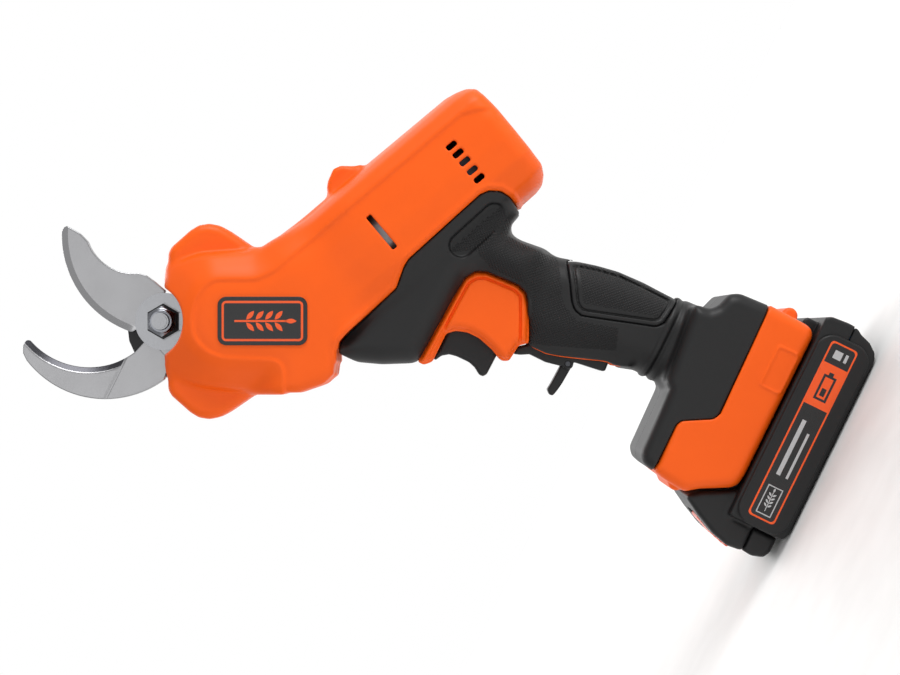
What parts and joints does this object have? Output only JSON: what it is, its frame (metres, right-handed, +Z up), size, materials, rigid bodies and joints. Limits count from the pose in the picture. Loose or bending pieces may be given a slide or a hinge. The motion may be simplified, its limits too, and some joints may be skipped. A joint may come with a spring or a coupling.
{
  "type": "battery electric pruner",
  "caption": "Pistol-grip cordless pruning shear with a hooked counter blade, a motor-driven swinging blade and a slide-in battery pack that it stands on.",
  "frame": {"origin": "centre of the battery pack's flat underside", "axes": "+Z up, blades lean towards -X, grip's back towards +X, blade drive's near side towards -Y"},
  "size_m": [0.2167, 0.075, 0.3708],
  "materials": {
    "orange_plastic": "satin moulded ABS",
    "black_plastic": "satin moulded glass-filled nylon",
    "soft_grip": "moulded elastomer with fine texture",
    "gloss_label": "gloss printed film",
    "blade_steel": "ground high-carbon steel",
    "zinc_steel": "zinc plated",
    "dark_steel": "black oxide",
    "gear_steel": "sintered",
    "cast_alloy": "die cast",
    "bush_bronze": "sintered",
    "copper_contact": "tin flashed copper alloy",
    "magnet_ferrite": "sintered ferrite",
    "winding": "enamelled copper wire",
    "acetal": "natural",
    "board_green": "solder mask",
    "cell_wrap": "shrink wrap",
    "nickel_strip": "rolled",
    "lead_red": "extruded PVC"
  },
  "bodies": {
    "housing": {"body_shell_near": "orange_plastic", "body_shell_far": "orange_plastic", "grip_shell_near": "black_plastic", "grip_shell_far": "black_plastic", "foot_shell_near": "orange_plastic", "foot_shell_far": "orange_plastic", "trigger_surround": "orange_plastic", "palm_pad": "soft_grip", "badge_plate": "gloss_label", "housing_screws": "dark_steel", "hook_blade": "blade_steel", "hook_screws": "zinc_steel", "gear_frame": "cast_alloy", "pivot_bolt": "zinc_steel", "pivot_nut": "zinc_steel", "lock_plate": "zinc_steel", "retaining_disc": "zinc_steel", "pivot_bush": "bush_bronze", "blade_bumper": "soft_grip", "motor_can": "gear_steel", "motor_magnets": "magnet_ferrite", "motor_cap": "black_plastic", "ring_gear": "cast_alloy", "thrust_bearing": "gear_steel", "guide_rails": "cast_alloy", "switch_module": "black_plastic", "lever_pin": "dark_steel", "control_board": "board_green", "terminal_block": "black_plastic", "tool_blades": "copper_contact", "supply_leads": "lead_red", "trigger_spring": "gear_steel"},
    "rotor": {"armature": "winding", "sun_gear": "gear_steel"},
    "spindle": {"carrier": "gear_steel", "planet_pins": "gear_steel", "lead_screw": "gear_steel"},
    "planet_a_gear": {"planet_a": "gear_steel"},
    "planet_b_gear": {"planet_b": "gear_steel"},
    "planet_c_gear": {"planet_c": "gear_steel"},
    "nut": {"screw_nut": "bush_bronze", "pull_yoke": "dark_steel", "guide_pads": "acetal"},
    "blade": {"moving_blade": "blade_steel", "drive_pin": "dark_steel"},
    "trigger_body": {"trigger": "black_plastic"},
    "safety": {"safety_lever": "black_plastic", "toggle_pin": "dark_steel"},
    "toggle": {"lock_toggle": "black_plastic"},
    "pack": {"pack_base": "black_plastic", "pack_lid": "black_plastic", "pack_panels": "black_plastic", "pack_labels": "gloss_label", "pack_cells": "cell_wrap", "cell_tabs": "nickel_strip", "pack_board": "board_green", "pack_clips": "copper_contact", "latch_spring": "gear_steel", "pack_skirt": "black_plastic"},
    "button": {"release_button": "orange_plastic"}
  },
  "joints": [
    {"name": "motor_spin", "type": "hinge", "parent": "housing", "child": "rotor", "pos_m": [0.0637, 0, 0.20228], "axis": [-0.9157, 0, 0.4019], "range_deg": [0, 9768.9]},
    {"name": "screw_spin", "type": "hinge", "parent": "housing", "child": "spindle", "pos_m": [0.0637, 0, 0.20228], "axis": [-0.9157, 0, 0.4019], "range_deg": [0, 2442.3]},
    {"name": "planet_a_spin", "type": "hinge", "parent": "spindle", "child": "planet_a_gear", "pos_m": [0.06804, 0, 0.21216], "axis": [-0.9157, 0, 0.4019], "range_deg": [-7326.8, 0]},
    {"name": "planet_b_spin", "type": "hinge", "parent": "spindle", "child": "planet_b_gear", "pos_m": [0.06153, 0.00935, 0.19733], "axis": [-0.9157, 0, 0.4019], "range_deg": [-7326.8, 0]},
    {"name": "planet_c_spin", "type": "hinge", "parent": "spindle", "child": "planet_c_gear", "pos_m": [0.06153, -0.00935, 0.19733], "axis": [-0.9157, 0, 0.4019], "range_deg": [-7326.8, 0]},
    {"name": "nut_slide", "type": "slide", "parent": "housing", "child": "nut", "axis": [0.9157, 0, -0.4019], "range_m": [0, 0.02714]},
    {"name": "blade_swing", "type": "hinge", "parent": "housing", "child": "blade", "pos_m": [-0.0835, 0, 0.3073], "axis": [0, -1, 0], "range_deg": [0, 54]},
    {"name": "trigger_pull", "type": "slide", "parent": "housing", "child": "trigger_body", "axis": [1, 0, 0], "range_m": [0, 0.006], "stiffness_N_per_m": 900, "springref_m": -0.002, "deforming": ["trigger_spring"]},
    {"name": "safety_squeeze", "type": "hinge", "parent": "housing", "child": "safety", "pos_m": [-0.0132, 0, 0.1434], "axis": [0, -1, 0], "range_deg": [0, 6], "stiffness_Nm_per_rad": 1.2, "springref_deg": -2.86},
    {"name": "toggle_fold", "type": "hinge", "parent": "safety", "child": "toggle", "pos_m": [-0.0165, 0, 0.1253], "axis": [0, -1, 0], "range_deg": [0, 65], "stiffness_Nm_per_rad": 0.03, "springref_deg": -17.19},
    {"name": "pack_slide", "type": "slide", "parent": "housing", "child": "pack", "axis": [-1, 0, 0], "range_m": [0, 0.095]},
    {"name": "button_press", "type": "slide", "parent": "pack", "child": "button", "axis": [0.9342, 0, -0.3567], "range_m": [0, 0.0025], "stiffness_N_per_m": 2000, "springref_m": -0.0015, "deforming": ["latch_spring"]}
  ],
  "couplings": [
    {"joint": "screw_spin", "follows": "motor_spin", "ratio": 0.25},
    {"joint": "planet_a_spin", "follows": "motor_spin", "ratio": -0.75},
    {"joint": "planet_b_spin", "follows": "motor_spin", "ratio": -0.75},
    {"joint": "planet_c_spin", "follows": "motor_spin", "ratio": -0.75},
    {"joint": "nut_slide", "follows": "motor_spin", "m_per_rad": 0.00015915},
    {"joint": "blade_swing", "follows": "motor_spin", "ratio": 0.0055277}
  ]
}
